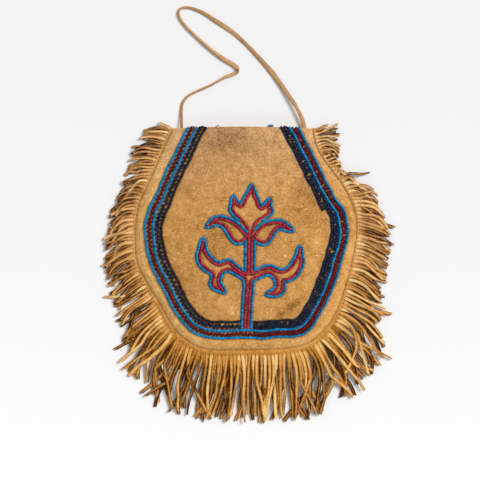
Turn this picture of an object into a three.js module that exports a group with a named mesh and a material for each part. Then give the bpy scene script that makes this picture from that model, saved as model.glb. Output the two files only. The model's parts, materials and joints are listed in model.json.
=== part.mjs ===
// Beaded medicine bag, lying on its back: two hide panels sewn round a fringed welt, with couched beadwork
// on the front and a hide thong for a handle.
// Millimetres. +Z is up, +Y points to the mouth, and the origin is the middle of the back's flat underside.
import * as THREE from "three";

// Driving dimensions
const BODY_WIDTH = 138; // seam to seam at the widest place
const BODY_HEIGHT = 138; // bottom seam to mouth edge
const PANEL_HIDE = 1.2; // thickness of the front and back panels
const FRINGE_HIDE = 1; // thickness of the fringe strips
const LOFT = 6; // rise of the front's middle above its seam
const LOFT_REACH = 38; // distance from the seam over which the front rises
const MOUTH_ARCH = 0.8; // how far the mouth edge bows up in the middle
const WELT = 2.5; // width of fringe strip sewn in between the panels
const FRINGE_BAND = 3; // uncut width of fringe strip outside the seam
const FRINGE_SCALE = 1; // strand length against the lengths in SEAM
const STRAND_PITCH = 2.3; // spacing of the strands along the seam
const STRAND_TIP = 1.3; // width of a strand at its tip
const SLIT = 0.5; // opening of the cut between two strands
const BEAD = 1.65; // diameter of a string of seed beads
const ROW_GAP = 0.225; // room between two bead rows laid side by side
const RED_ZIGZAG = 3; // room for the wine-red zigzag between the blue rows
const NAVY_ZIGZAG = 3.75; // room for the navy zigzag inside the inner blue row
const THONG_WIDTH = 3;
const THONG_THICKNESS = 1.5;
const THREAD = 0.6; // diameter of the sewing thread
const GAP = 0.3; // clearance between pieces that touch

// Sampling of the curved shapes
const ROW_STEP = 0.5;
const SEAM_STEP = 5;
const LANE_STEP = 5;
const BEND_TOLERANCE = 0.1;
const MITRE_LIMIT = 1.08;
const ROW_SIDES = 6;
const THONG_SIDES = 8;
const THONG_STEPS = 70;
const THREAD_STEPS = 60;
const MOUTH_POINTS = 10;
const PANEL_RINGS = [0.3, 0.52, 0.74, 0.9, 1]; // from the middle of the front to its edge

// Heights that follow from the stack at the seam: back, fringe strip, front
const WELT_FLOOR = PANEL_HIDE + GAP;
const WELT_TOP = WELT_FLOOR + FRINGE_HIDE;
const SEAM_TOP = WELT_TOP + GAP + PANEL_HIDE;

// Spacings of the beadwork, from middle to middle of its rows
const ROW_SPACING = BEAD + ROW_GAP;
const RED_LANE = BEAD + RED_ZIGZAG;
const NAVY_LANE = BEAD + NAVY_ZIGZAG;

// The outlines below are drawn on a body of this size and stretch with BODY_WIDTH and BODY_HEIGHT.
const DRAWN_BODY = 138;
const STRETCH_X = BODY_WIDTH / DRAWN_BODY;
const STRETCH_Y = BODY_HEIGHT / DRAWN_BODY;

// Seam from the mouth's left corner round the bottom to its right corner: x, y, heading of the fringe there
// in degrees and length of its strands.
const SEAM = [
  [-45.6, 69, 165, 14],
  [-50.4, 58.4, 178, 15],
  [-60, 36.3, 198, 19],
  [-67, 20.2, 204, 19],
  [-69, -1, 211, 20],
  [-67.5, -15.6, 214, 21],
  [-62.6, -25.6, 218, 24],
  [-52.5, -42.3, 222, 32],
  [-46.3, -53.1, 232, 38],
  [-39.6, -60.9, 244, 39],
  [-26.7, -68, 264, 38],
  [-5, -69, 268, 39],
  [27.5, -67.6, 273, 39],
  [39.3, -64.3, 281, 38],
  [50.8, -53.8, 300, 36],
  [57, -43, 322, 33],
  [61, -32.2, 324, 22],
  [67, -8.8, 330, 20],
  [69, 8, 332, 20],
  [66.7, 20.2, 335, 19],
  [60.4, 33.2, 336, 20],
  [57.8, 36.8, 345, 5],
  [47.8, 50.2, 348, 5],
  [45.1, 54.8, 345, 11],
  [43.1, 59.5, 345, 13],
  [41.3, 69, 374, 12],
];

// Fringe strips: the stretch of the seam each one is sewn into, as shares of the seam's length.
const FRINGE_STRIPS = [
  ["fringe_left", 0, 0.37],
  ["fringe_bottom", 0.37, 0.63],
  ["fringe_right", 0.63, 0.893],
  ["fringe_upper_right", 0.893, 1],
];

// Outer row of the beaded border, from above the mouth's left side round to above its right side, of which
// the length below the mouth is sewn.
const BORDER = [
  [-31.3, 78.5], [-44.4, 52.1], [-49.8, 41.3], [-54.3, 30.4], [-60, 18.9], [-62.1, 11.9], [-62.6, 5.5],
  [-61.9, -1.9], [-59.4, -14.4], [-51.1, -31.5], [-45.3, -42.6], [-41, -49.4], [-35.3, -55.9],
  [-28.1, -60.2], [-21, -61.5], [0, -61.4], [12, -61.8], [22, -60.7], [31, -60.5], [37.1, -58.6],
  [41.4, -54.4], [49.4, -40.8], [56.5, -24.1], [59.7, -13.1], [62.3, -4.7], [63.6, 4], [62.7, 11.5],
  [60.7, 18.8], [57.1, 23], [53.2, 29.6], [48.9, 38], [39.8, 56.2], [27.4, 78.6],
];
const NOTCH_Y = 19.4; // where the right navy lane is broken
const NOTCH_GAP = 1.6;

// Beads sewn over the back's mouth edge: name, x of their middle and length of the row.
const MOUTH_BEADS = [
  ["mouth_beads_left", -17.6, 1.4],
  ["mouth_beads_right", 15.6, 3.2],
];

// Handle thong, from inside the mouth's left corner to inside its right one: x, y, height of its underside.
const THONG = [
  [-39.6, 62.5, WELT_FLOOR], [-40, 67, WELT_FLOOR], [-40.2, 71.2, WELT_FLOOR + 0.1], [-40.3, 76, 0.8],
  [-40.3, 80.2, GAP], [-39.4, 85.1, GAP],
  [-36.1, 89.3, GAP], [-28.8, 93.1, GAP], [-22.6, 95.8, GAP], [-13.3, 100.9, GAP], [-7, 103.4, GAP],
  [-4.6, 105.5, GAP], [-7, 108.2, GAP], [-13.3, 112.1, GAP], [-21.1, 117.8, GAP], [-28.8, 124.5, GAP],
  [-36.6, 132, GAP], [-40.5, 136.9, GAP], [-42.1, 140.8, GAP], [-40.8, 143.9, GAP], [-38.1, 144.6, GAP],
  [-34, 144.2, GAP], [-27.3, 141.6, GAP], [-19.5, 136.7, GAP], [-8.1, 129.2, GAP], [-0.3, 122.2, GAP],
  [7.4, 114.1, GAP], [15.3, 105.3, GAP], [20.4, 98.6, 0.6], [27.5, 88.3, 1.6], [30.9, 83.2, 2.2],
  [34.3, 76.5, 2.4], [36, 71.5, WELT_FLOOR + 0.4], [36.2, 62.5, WELT_FLOOR],
];

// The floral motif is drawn in row spacings from the flower's middle, with the outside of each outline on the
// left of its direction, so that it grows with the beads. Two red rows turn round each other at a tip.
function tip(x, y, heading) {
  const angle = THREE.MathUtils.degToRad(heading);
  const ahead = [Math.cos(angle) / 2, Math.sin(angle) / 2];
  return [
    [x - ahead[1], y + ahead[0]],
    [x + ahead[0], y + ahead[1]],
    [x + ahead[1], y - ahead[0]],
  ];
}

const LEFT_LEAF = [
  [-0.4, -30.5], [-0.2, -23.7], [0.2, -17.7], [0.3, -14.7], [-0.5, -12.8], [-2.4, -11.4], [-4.4, -10.2],
  [-6.3, -9.8], [-8.2, -10.9], [-9.1, -12.8], [-8.9, -14.8], ...tip(-7.6, -17, -50), [-10.4, -15.9],
  [-11, -14.8], [-10.5, -12.7], [-10.7, -11.2], [-11.8, -10.4], [-13.7, -9.2], [-15, -7.4], [-15.3, -5.2],
  [-14.9, -2.8], ...tip(-14.2, -0.9, 80), [-13.8, -2.7], [-13.3, -4.8], [-12.1, -6.6], [-10.4, -8.1],
  [-8.5, -8.7], [-7, -8.2], [-5.6, -7.8], [-3.2, -9.8], [-1.2, -11.1], [0.4, -11.4], [0.8, -9],
  [0.8, -5.2], [0.9, -1], [1, 0.2],
];
const RIGHT_LEAF = [
  [2.1, 0.2], [2, -5.2], [1.9, -9.4], [2.3, -11.5], [4.3, -10.8], [6.3, -9.9], [8.3, -9.7], [9.9, -10.5],
  [11.7, -11.1], [13.4, -10.7], [15.3, -9.2], [16.5, -7.2], [17.2, -5], ...tip(17.8, -3.5, 78), [18.4, -5.2],
  [18.2, -7.9], [17.3, -10.3], [15.7, -12.3], [13.8, -13.1], [12.3, -13.6], [12.1, -15.3], [11.9, -16.9],
  [10.9, -18.1], [9.3, -18.6], ...tip(7.9, -18.1, 194), [9.5, -16.9], [10.5, -15.8], [10.7, -14.3],
  [9.9, -12.4], [8.4, -11.2], [6.7, -11], [4.8, -11.9], [2.8, -13], [1.8, -14.2], [1.5, -17], [1.1, -20.3],
  [0.9, -24.3], [0.7, -30.5],
];
const LEFT_PETAL = [
  [-0.1, 0.4], [-1.7, -0.6], [-3, -0.7], [-4.3, 0.4], [-5.6, 2.4], [-6.6, 4.1], [-8.2, 5.1], [-10.1, 5.2],
  ...tip(-12, 4.6, 210), [-10.8, 6.3], [-9.2, 6.7], [-7, 6.4], [-5.2, 5.7], [-3.6, 4.8], [-2.2, 3.6],
  [-1, 2.3], [-0.4, 1.6],
];
const RIGHT_PETAL = [
  [3.4, 1.7], [4.2, 2.8], [5.3, 4], [7, 4.8], [9.6, 5.3], [11.8, 5.3], [13.4, 4.5], ...tip(14.7, 3.2, -38),
  [12.8, 3.4], [11.4, 4.1], [10.2, 3.9], [9, 2.5], [7.7, 0.3], [6.2, -1], [4.7, -0.7], [3.3, 0.3],
];
const FLOWER = [
  [1.1, 1.7], [0.9, 3], [0.1, 4.5], [-1.1, 6.1], [-2.7, 7.8], [-4.2, 9.3], [-4.6, 10.3], [-4.4, 11.8],
  ...tip(-4, 13.2, 95), [-2.7, 11.6], [-1.6, 10.7], [-0.8, 11.2], [0.1, 13.1], [1, 15.5],
  ...tip(1.9, 16.8, 88), [2.9, 14.7], [3.5, 12.6], [4.3, 10.5], [5.1, 9.9], [6.2, 10.8],
  ...tip(7.7, 12.3, 62), [7.9, 10.3], [8, 9], [6.3, 7.7], [4.2, 6.5], [2.9, 5], [2.4, 3.4], [2.2, 1.7],
];

const hide = new THREE.MeshStandardMaterial({ name: "hide", color: 0xc4965c, roughness: 0.9 });
const fringeHide = new THREE.MeshStandardMaterial({ name: "fringe_hide", color: 0xb07a42, roughness: 0.9 });
const thread = new THREE.MeshStandardMaterial({ name: "thread", color: 0xb9a078, roughness: 0.8 });
const blueBead = new THREE.MeshStandardMaterial({ name: "blue_bead", color: 0x0088cc, roughness: 0.25 });
const redBead = new THREE.MeshStandardMaterial({ name: "red_bead", color: 0xb02a48, roughness: 0.25 });
const wineBead = new THREE.MeshStandardMaterial({ name: "wine_bead", color: 0x6e1928, roughness: 0.3 });
const navyBead = new THREE.MeshStandardMaterial({ name: "navy_bead", color: 0x141937, roughness: 0.3 });

const bag = new THREE.Group();
bag.name = "beaded_medicine_bag";

function add(name, geometry, material) {
  const mesh = new THREE.Mesh(geometry, material);
  mesh.name = name;
  bag.add(mesh);
}

// Lines and rows: a line is smooth through hand-set points, and a row is points evenly spaced along it.
function lineThrough(places) {
  const line = new THREE.CatmullRomCurve3(places);
  line.arcLengthDivisions = 2000;
  return line;
}

function rowAlong(line, step) {
  return line.getSpacedPoints(Math.ceil(line.getLength() / step));
}

function onBody([x, y]) {
  return new THREE.Vector3(x * STRETCH_X, y * STRETCH_Y, 0);
}

// Direction across a row at one of its points, to the left of its run.
function leftOf(row, i) {
  const along = row[Math.min(i + 1, row.length - 1)].clone().sub(row[Math.max(i - 1, 0)]).normalize();
  return new THREE.Vector3(-along.y, along.x, 0);
}

function distanceTo(row, point) {
  const part = new THREE.Line3();
  const nearest = new THREE.Vector3();
  let least = Infinity;
  for (let i = 1; i < row.length; i++) {
    part.set(row[i - 1], row[i]).closestPointToPoint(point, true, nearest);
    least = Math.min(least, nearest.distanceTo(point));
  }
  return least;
}

const seamLine = lineThrough(SEAM.map(onBody));
const seamRow = rowAlong(seamLine, SEAM_STEP);
const seamLength = seamLine.getLength();
const mouthLeft = seamRow[0];
const mouthRight = seamRow[seamRow.length - 1];

// Height of the front's outer face: it rises from the seam and levels out over the middle.
function frontTop(point) {
  const flat = new THREE.Vector3(point.x, point.y, 0);
  const short = 1 - Math.min(distanceTo(seamRow, flat) / LOFT_REACH, 1);
  return SEAM_TOP + LOFT * (1 - short * short);
}

function solid(corners, faces) {
  const geometry = new THREE.BufferGeometry().setFromPoints(corners);
  geometry.setIndex(faces);
  geometry.computeVertexNormals();
  return geometry;
}

// Closed solid through rings of points: neighbouring rings are joined, and the first and last are filled.
function skin(rings) {
  const count = rings[0].length;
  const corners = rings.flat();
  const faces = [];
  for (let i = 0; i + 1 < rings.length; i++) {
    for (let j = 0; j < count; j++) {
      const a = i * count + j;
      const b = i * count + ((j + 1) % count);
      faces.push(a, b, b + count, a, b + count, a + count);
    }
  }
  for (const [ring, turn] of [[0, 1], [rings.length - 1, 0]]) {
    const middle = new THREE.Vector3();
    rings[ring].forEach((corner) => middle.addScaledVector(corner, 1 / count));
    corners.push(middle);
    for (let j = 0; j < count; j++) {
      const pair = [ring * count + j, ring * count + ((j + 1) % count)];
      faces.push(pair[turn], pair[1 - turn], corners.length - 1);
    }
  }
  return solid(corners, faces);
}

// Closed sheet of even thickness over triangles of points, with the points of its outer edge in order.
function sheet(points, triangles, edge, thickness) {
  const count = points.length;
  const raised = points.map((point) => point.clone().setZ(point.z + thickness));
  const faces = [];
  for (const [a, b, c] of triangles) {
    faces.push(c, b, a, a + count, b + count, c + count);
  }
  edge.forEach((a, i) => {
    const b = edge[(i + 1) % edge.length];
    faces.push(a, b, b + count, a, b + count, a + count);
  });
  return solid([...points, ...raised], faces);
}

function plate(edge, thickness) {
  const shape = new THREE.Shape(edge.map((point) => new THREE.Vector2(point.x, point.y)));
  return new THREE.ExtrudeGeometry(shape, { depth: thickness, bevelEnabled: false });
}

// Corners of a round or oval section, with x up and y across.
function sectionCorners(sides, halfUp, halfAcross) {
  const corners = [];
  for (let i = 0; i < sides; i++) {
    const angle = ((i + 0.5) / sides) * 2 * Math.PI;
    corners.push(new THREE.Vector2(halfUp * Math.cos(angle), halfAcross * Math.sin(angle)));
  }
  return corners;
}

function tube(corners, places, steps) {
  const extrudePath = lineThrough(places);
  return new THREE.ExtrudeGeometry(new THREE.Shape(corners), { steps, extrudePath, bevelEnabled: false });
}

// Panels: the seam, closed by the bowed mouth edge
const mouthEdge = [];
for (let i = 1; i < MOUTH_POINTS; i++) {
  const share = i / MOUTH_POINTS;
  const point = mouthRight.clone().lerp(mouthLeft, share);
  point.y += MOUTH_ARCH * Math.sin(Math.PI * share);
  mouthEdge.push(point);
}
const outline = [...seamRow, ...mouthEdge];

function frontRing(share, depth) {
  return outline.map((point) => {
    const place = point.clone().multiplyScalar(share);
    return place.setZ(frontTop(place) - depth);
  });
}
const frontInside = PANEL_RINGS.map((share) => frontRing(share, PANEL_HIDE));
const frontOutside = PANEL_RINGS.map((share) => frontRing(share, 0)).reverse();
add("back_panel", plate(outline, PANEL_HIDE), hide);
add("front_panel", skin([...frontInside, ...frontOutside]), hide);

// Fringe: combs cut from strips that are sewn between the panels, with strands that droop to the ground
function seamAt(share) {
  const along = seamLine.getTangentAt(share);
  const t = seamLine.getUtoTmapping(share) * (SEAM.length - 1);
  const index = Math.min(Math.floor(t), SEAM.length - 2);
  const blend = (column) => THREE.MathUtils.lerp(SEAM[index][column], SEAM[index + 1][column], t - index);
  const point = seamLine.getPointAt(share);
  const outward = new THREE.Vector3(along.y, -along.x, 0);
  return {
    heading: THREE.MathUtils.degToRad(blend(2)),
    length: blend(3) * FRINGE_SCALE,
    root: point.clone().addScaledVector(outward, FRINGE_BAND),
    welt: point.clone().addScaledVector(outward, -WELT),
  };
}

// The strands' tips rest on the ground, and the uncut part keeps the height of the seam.
function fringeStrip(stripStart, stripEnd) {
  const halfSlit = SLIT / seamLength / 2;
  const from = stripStart + halfSlit;
  const to = stripEnd - halfSlit;
  const strands = Math.floor(((to - from) * seamLength) / STRAND_PITCH);
  const pitch = (to - from) / strands;
  const points = [seamAt(from).welt.setZ(WELT_FLOOR)];
  const triangles = [];
  const comb = [];
  const welt = [0];
  for (let i = 0; i < strands; i++) {
    const middle = seamAt(from + (i + 0.5) * pitch);
    const ahead = new THREE.Vector3(Math.cos(middle.heading), Math.sin(middle.heading), 0);
    const across = new THREE.Vector3(-ahead.y, ahead.x, 0).multiplyScalar(STRAND_TIP / 2);
    const tipMiddle = middle.root.clone().addScaledVector(ahead, middle.length);
    const first = points.length;
    const [root, leftTip, rightTip, nextRoot, nextWelt] = [0, 1, 2, 3, 4].map((step) => first + step);
    points.push(
      seamAt(from + i * pitch + halfSlit).root.setZ(WELT_FLOOR),
      tipMiddle.clone().sub(across),
      tipMiddle.clone().add(across),
      seamAt(from + (i + 1) * pitch - halfSlit).root.setZ(WELT_FLOOR),
      seamAt(from + (i + 1) * pitch).welt.setZ(WELT_FLOOR),
    );
    triangles.push([root, leftTip, rightTip], [root, rightTip, nextRoot]);
    triangles.push([welt[i], root, nextRoot], [welt[i], nextRoot, nextWelt]);
    if (i > 0) {
      triangles.push([welt[i], comb[comb.length - 1], root]);
    }
    comb.push(root, leftTip, rightTip, nextRoot);
    welt.push(nextWelt);
  }
  return sheet(points, triangles, [...comb, ...welt.reverse()], FRINGE_HIDE);
}

for (const [name, from, to] of FRINGE_STRIPS) {
  add(name, fringeStrip(from, to), fringeHide);
}

// Seam thread, in the groove outside the front panel's edge
const threadRound = sectionCorners(ROW_SIDES, THREAD / 2, THREAD / 2);
const threadPlaces = seamRow.map((point, i) => {
  const place = point.clone().addScaledVector(leftOf(seamRow, i), -GAP - THREAD / 2);
  return place.setZ(WELT_TOP + GAP + THREAD / 2);
});
add("seam_thread", tube(threadRound, threadPlaces, THREAD_STEPS), thread);

// Handle thong, and a stitch over each of its ends inside the mouth
const thongFlat = sectionCorners(THONG_SIDES, THONG_THICKNESS / 2, THONG_WIDTH / 2);
const thongPlaces = THONG.map(([x, y, under]) => onBody([x, y]).setZ(under + THONG_THICKNESS / 2));
add("thong", tube(thongFlat, thongPlaces, THONG_STEPS), hide);

function thongStitch(end) {
  const stitch = new THREE.CapsuleGeometry(THREAD / 2, THONG_WIDTH, 2, ROW_SIDES).rotateZ(Math.PI / 2);
  return stitch.translate(end.x, end.y + THONG_WIDTH / 2, WELT_FLOOR + THONG_THICKNESS + GAP + THREAD / 2);
}
add("thong_stitch_left", thongStitch(thongPlaces[0]), thread);
add("thong_stitch_right", thongStitch(thongPlaces[thongPlaces.length - 1]), thread);

// Beadwork. A row laid beside another drops the points that come too near it, and a row stops where it would
// meet one that is already sewn down.
function beside(row, distance) {
  const moved = row.map((point, i) => point.clone().addScaledVector(leftOf(row, i), distance));
  return moved.filter((point) => distanceTo(row, point) > Math.abs(distance) - ROW_STEP / 10);
}

function longestClear(row, sewn, keep = () => true) {
  const clearance = ROW_SPACING - ROW_STEP / 10;
  let best = [];
  let run = [];
  for (const point of row) {
    const clear = keep(point) && sewn.every((other) => distanceTo(other, point) > clearance);
    run = clear ? [...run, point] : [];
    best = run.length > best.length ? run : best;
  }
  return best;
}

function onFront(point, rise) {
  return new THREE.Vector3(point.x, point.y, frontTop(point) + GAP + rise);
}

// Points of a row that its bends need, so that straight stretches stay plain.
function bends(row) {
  const chord = [row[0], row[row.length - 1]];
  const off = row.map((point) => distanceTo(chord, point));
  const most = off.indexOf(Math.max(...off));
  if (off[most] < BEND_TOLERANCE) {
    return chord;
  }
  return [...bends(row.slice(0, most + 1)).slice(0, -1), ...bends(row.slice(most))];
}

// A string of beads is a tube whose rings stand upright and are mitred at the bends.
function sew(name, row, material) {
  const line = bends(row);
  const round = sectionCorners(ROW_SIDES, BEAD / 2, BEAD / 2);
  const rings = line.map((point, i) => {
    const arriving = point.clone().sub(line[Math.max(i - 1, 0)]).normalize();
    const leaving = line[Math.min(i + 1, line.length - 1)].clone().sub(point).normalize();
    const along = arriving.clone().add(leaving).normalize();
    const mitre = Math.min(1 / Math.max(along.dot(arriving), along.dot(leaving)), MITRE_LIMIT);
    const right = new THREE.Vector3(along.y, -along.x, 0).multiplyScalar(mitre);
    return round.map((corner) => onFront(point, BEAD / 2 + corner.x).addScaledVector(right, corner.y));
  });
  add(name, skin(rings), material);
}

// Border rows
const underMouth = (point) => point.y < mouthLeft.y;
const border = rowAlong(lineThrough(BORDER.map(onBody)), ROW_STEP);
const outerBorder = longestClear(border, [], underMouth);
const innerBorder = longestClear(beside(border, RED_LANE), [], underMouth);
sew("outer_blue_row", outerBorder, blueBead);
sew("inner_blue_row", innerBorder, blueBead);

// Motif: red outlines, each with a blue row outside it, standing on the inner blue row
const stemFoot = Math.min(...LEFT_LEAF.map(([, y]) => y)) * ROW_SPACING;
const motifY = Math.min(...innerBorder.map((point) => point.y)) - stemFoot;
const motif = [
  ["left_leaf", LEFT_LEAF], ["right_leaf", RIGHT_LEAF], ["left_petal", LEFT_PETAL],
  ["right_petal", RIGHT_PETAL], ["flower", FLOWER],
].map(([name, points]) => {
  const places = points.map(([x, y]) => new THREE.Vector3(x * ROW_SPACING, y * ROW_SPACING + motifY, 0));
  return { name, drawn: rowAlong(lineThrough(places), ROW_STEP) };
});
const motifRows = [];
for (const piece of motif) {
  piece.red = longestClear(piece.drawn, [innerBorder, ...motifRows]);
  motifRows.push(piece.red);
  sew(piece.name + "_red", piece.red, redBead);
}
for (const piece of motif) {
  const others = motifRows.filter((row) => row !== piece.red);
  const blue = longestClear(beside(piece.drawn, ROW_SPACING), [innerBorder, ...others]);
  motifRows.push(blue);
  sew(piece.name + "_blue", blue, blueBead);
}

// Zigzag lanes between the rows, as bands, and the navy row that edges the inner lane
const navyEdge = beside(border, RED_LANE + NAVY_LANE);
const laneRow = rowAlong(lineThrough(border), LANE_STEP);

function lane(from, to, keep) {
  const sides = [from + BEAD / 2 + GAP, to - BEAD / 2 - GAP];
  const rings = [];
  laneRow.forEach((point, i) => {
    const edges = sides.map((side) => point.clone().addScaledVector(leftOf(laneRow, i), side));
    const clear = (edge) => motifRows.every((row) => distanceTo(row, edge) > ROW_SPACING);
    if (edges.every((edge) => keep(edge) && underMouth(edge) && clear(edge))) {
      const [outer, inner] = edges;
      rings.push([onFront(outer, 0), onFront(inner, 0), onFront(inner, BEAD), onFront(outer, BEAD)]);
    }
  });
  return skin(rings);
}
add("red_lane", lane(0, RED_LANE, () => true), wineBead);

const notch = NOTCH_Y * STRETCH_Y;
const navyLengths = [
  ["left", (point) => point.x < 0],
  ["right", (point) => point.x > 0 && point.y < notch - NOTCH_GAP / 2],
  ["upper_right", (point) => point.x > 0 && point.y > notch + NOTCH_GAP / 2],
];
for (const [place, keep] of navyLengths) {
  const edge = longestClear(navyEdge, motifRows, (point) => keep(point) && underMouth(point));
  add("navy_lane_" + place, lane(RED_LANE, RED_LANE + NAVY_LANE, keep), navyBead);
  sew("navy_row_" + place, edge, navyBead);
}

// Beads over the back's mouth edge
for (const [name, x, length] of MOUTH_BEADS) {
  const share = (mouthRight.x - x * STRETCH_X) / (mouthRight.x - mouthLeft.x);
  const edgeY = mouthLeft.y + MOUTH_ARCH * Math.sin(Math.PI * share);
  const beads = new THREE.CylinderGeometry(BEAD / 2, BEAD / 2, length, ROW_SIDES).rotateZ(Math.PI / 2);
  beads.translate(x * STRETCH_X, edgeY + GAP + BEAD / 2, GAP + BEAD / 2);
  add(name, beads, blueBead);
}

export default bag;
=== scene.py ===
"""Looks of the beaded medicine bag: hide, fringe, beadwork and thong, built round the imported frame.

Sizes and places are in millimetres, and meshes are made in metres. +Z is up and +Y points to the mouth.
"""
import json
import math
import random

import bmesh
import bpy
import numpy as np
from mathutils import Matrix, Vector, kdtree, noise


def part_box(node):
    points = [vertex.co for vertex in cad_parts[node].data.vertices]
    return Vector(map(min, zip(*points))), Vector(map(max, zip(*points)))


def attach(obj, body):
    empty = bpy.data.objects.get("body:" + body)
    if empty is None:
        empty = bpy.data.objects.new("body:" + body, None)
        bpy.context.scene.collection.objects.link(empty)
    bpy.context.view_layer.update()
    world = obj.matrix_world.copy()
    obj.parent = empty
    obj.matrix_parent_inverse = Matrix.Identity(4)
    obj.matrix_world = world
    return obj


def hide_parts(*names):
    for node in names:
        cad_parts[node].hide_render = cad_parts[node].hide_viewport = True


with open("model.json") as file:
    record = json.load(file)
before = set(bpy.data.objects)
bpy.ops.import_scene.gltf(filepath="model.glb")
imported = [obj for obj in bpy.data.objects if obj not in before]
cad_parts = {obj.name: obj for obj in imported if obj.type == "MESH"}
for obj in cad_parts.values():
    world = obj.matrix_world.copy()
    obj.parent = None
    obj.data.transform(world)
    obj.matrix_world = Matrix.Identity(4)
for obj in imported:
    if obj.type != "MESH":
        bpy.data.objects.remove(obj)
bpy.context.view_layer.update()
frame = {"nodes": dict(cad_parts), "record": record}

MM = 0.001
WELD = 0.01  # corners nearer than this are one corner
UP = np.array([0, 0, 1.0])
chance = random.Random(11)
scatter = np.random.default_rng(11)

# Camera, straight above the bag
CAMERA_HEIGHT = 1500
CAMERA_LENS = 180
PICTURE_MIDDLE = (-3.75, -0.625)

# Light from the upper right, and a floor painted a little darker beyond the bag, as painted shade
KEY_FROM = (0.85, 0.42, 0.95)
KEY_STRENGTH = 2.6
KEY_ANGLE = 24
SKY_STRENGTH = 0.42
FLOOR_SIZE = 4000
FLOOR_DROP = 0.05
FLOOR_SHADE_STOPS = [(0, (252, 252, 252)), (1, (243, 243, 244))]
FLOOR_SHADE_SPAN = (-140, 140)

# Hide panels
MOUTH_Y = 69
HIDE = 1.2
SEAM_TOP = 4  # height of the front's face inside its rounded edge
LOFT_REACH = 38  # distance from the seam over which the front rises
SLACK_EDGE = 0.5  # share of the rise that starts slowly, so that the margin lies flat
EDGE_ROUND = 3  # width of the rounded edge along the seam
EDGE_FLOOR = 2.7  # height of the front's edge in the seam groove
WELT_TOP = 2.5
PRESSED_LINE = 2.1  # distance of the pressed line from the seam
PRESSED_WIDTH = 0.5
PRESSED_DEPTH = 0.15
OUTLINE_STEP = 0.8
SLACK = [(0.4, 26, 1), (0.12, 7, 2)]  # height, size and seed of the front's folds
SLACK_REACH = 6  # distance from the seam over which they grow
MARGIN_TONE = 0.07  # the margin is rubbed pale, and painted lighter still on the left and below as painted light, where it slopes away from the lamp
MARGIN_PAINTED_LIGHT_LEFT = 0.18
MARGIN_PAINTED_LIGHT_LOW = 0.1
MARGIN_REACH = 11
GROOVE_SHADE = 0.1  # painted shade in the seam's groove, more so from the middle to the right
GROOVE_SHADE_RIGHT = 0.12
GROOVE_SHADE_REACH = 0.45
ROW_DIRT_AND_SHADE = 0.55  # grime and painted shade in the hide beside the beads
ROW_DIRT_AND_SHADE_REACH = 0.95
CREASE_SHADE = 0.2  # painted shade in a crease, for each millimetre of its depth
BACK_WAVE = 0.12
BACK_EDGE_LIFT = 0.25

# Fringe, doubled: an upper and a lower comb share the strip's thickness in the seam
FRINGE_HIDE = 1
STRAND_HIDE = 1.2
SLIT = 0.35
STRIP_GAP = 1  # room between the ends of neighbouring strips, which is drawn closed
WELT_ROWS = (-2.5, -1.1, 0)  # distances from the seam, outwards
BAND_SHARES = (0.25, 0.5, 0.8, 1)  # shares of the width of the uncut band outside the seam
BAND_WIDTH = (1.2, 2.8)  # at the sides and along the bottom
BAND_WIDENS = (25, 55)  # from how far below the middle to how far the band widens
SLIM = (30, 60)  # heights between which the strands get slimmer
SLIM_SHARE = 0.8
LOOSE_LENGTH = 26  # strands shorter than this curl more
LEFT_TONE = -0.05  # the strands on the left are darker
RUBBED = (69, -6)  # the middle of a stretch that is rubbed pale
RUBBED_REACH = 12
RUBBED_TONE = 0.16
WELT_RISE = 0.35  # ridge of the upper comb's band, its distance from the seam and its width
WELT_RIDGE = 1.3
WELT_RIDGE_WIDTH = 0.9
BAND_TONE = 0.2
# Painted shade in the seam's groove, on the band
BAND_GROOVE_SHADE = 0.16
BAND_DARKENS = 0.06  # for each millimetre outwards
STRAND_RINGS = 20
BUNDLE = (2, 5)  # fewest and most strands that draw together
BUNDLE_PULL = (0.15, 0.75)
STRAND_LENGTHS = (0.92, 1.06)  # least and most share of the length that a strand is given
# Bends of a strand, as shares of its length; the lower corners have more stray and kinked ones
SWAY = 0.08
BOW = 0.04
WAVE = 0.04
CURL = 0.04
ASTRAY_SHARE = 0.1  # share of the strands that lie across others, and what the corners add to it
ASTRAY_CORNER = 0.25
ASTRAY = 0.25
ASTRAY_MOST = 0.4
KINK_AT = (0.4, 0.85)  # between which shares of the length a strand is kinked
KINK = 0.16
KINK_CORNER = 0.26
# Twists in radians: at the tip, in the middle and in waves
TWISTS = (0.6, 0.25, 0.4)
HUMP = 2.4  # how far a strand's middle stands off the ground, at most
STRAND_HALF = 1.15  # half a strand's width, by which it stands up where it is turned on edge
LOWER_RESTS = (0.6, 0.8)  # heights at which the tips lie
UPPER_RESTS = (1.4, 2, 2.6)
# The lower comb is painted darker as painted shade under the upper one, which is painted lighter as painted
# light
LOWER_SHADED_TONE = 0.04
UPPER_LIT_TONE = 0.34
STRAND_TONES = 0.16
PALE_TIP = 0.15
CUT_SLANT = 0.5
STRAND_TAPER = 0.08
STRAND_RAGGED = 0.22
EDGE_THINNED = 0.55
# Painted shade along the edges of each strand, where the gaps between strands lie
EDGE_SHADE = 0.56
SHARP_ANGLE = 60  # edges bent by more degrees than this stay sharp
# Heights of strands' roots, and the share of the CAD strand's length there, because the real ones curl
LEFT_REACH = [
    (-70, 1.03), (-60, 1), (-48, 0.89), (-20, 0.86), (-6, 0.94), (4, 0.88), (12, 0.84), (24, 0.72),
    (38, 0.76), (50, 0.92),
]
RIGHT_REACH = [
    (-74, 1), (-67, 1.12), (-58, 1), (-50, 1.15), (-43, 1.08), (-28, 1), (24, 1), (35, 0.6), (37.5, 1),
]
# Roots and tips of strands that lie their own way
STRAYS = [
    ((60.5, 38.5), (76.9, 39.7)), ((-46.5, 68), (-53.8, 73)), ((41, 67), (50.6, 73)),
    ((-55, -51), (-73, -78)), ((46, -62), (78, -86)), ((58, -48), (66, -84)),
]
STRAY_NEAR = 5  # how near to a stray's root the strand that takes its way starts

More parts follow.
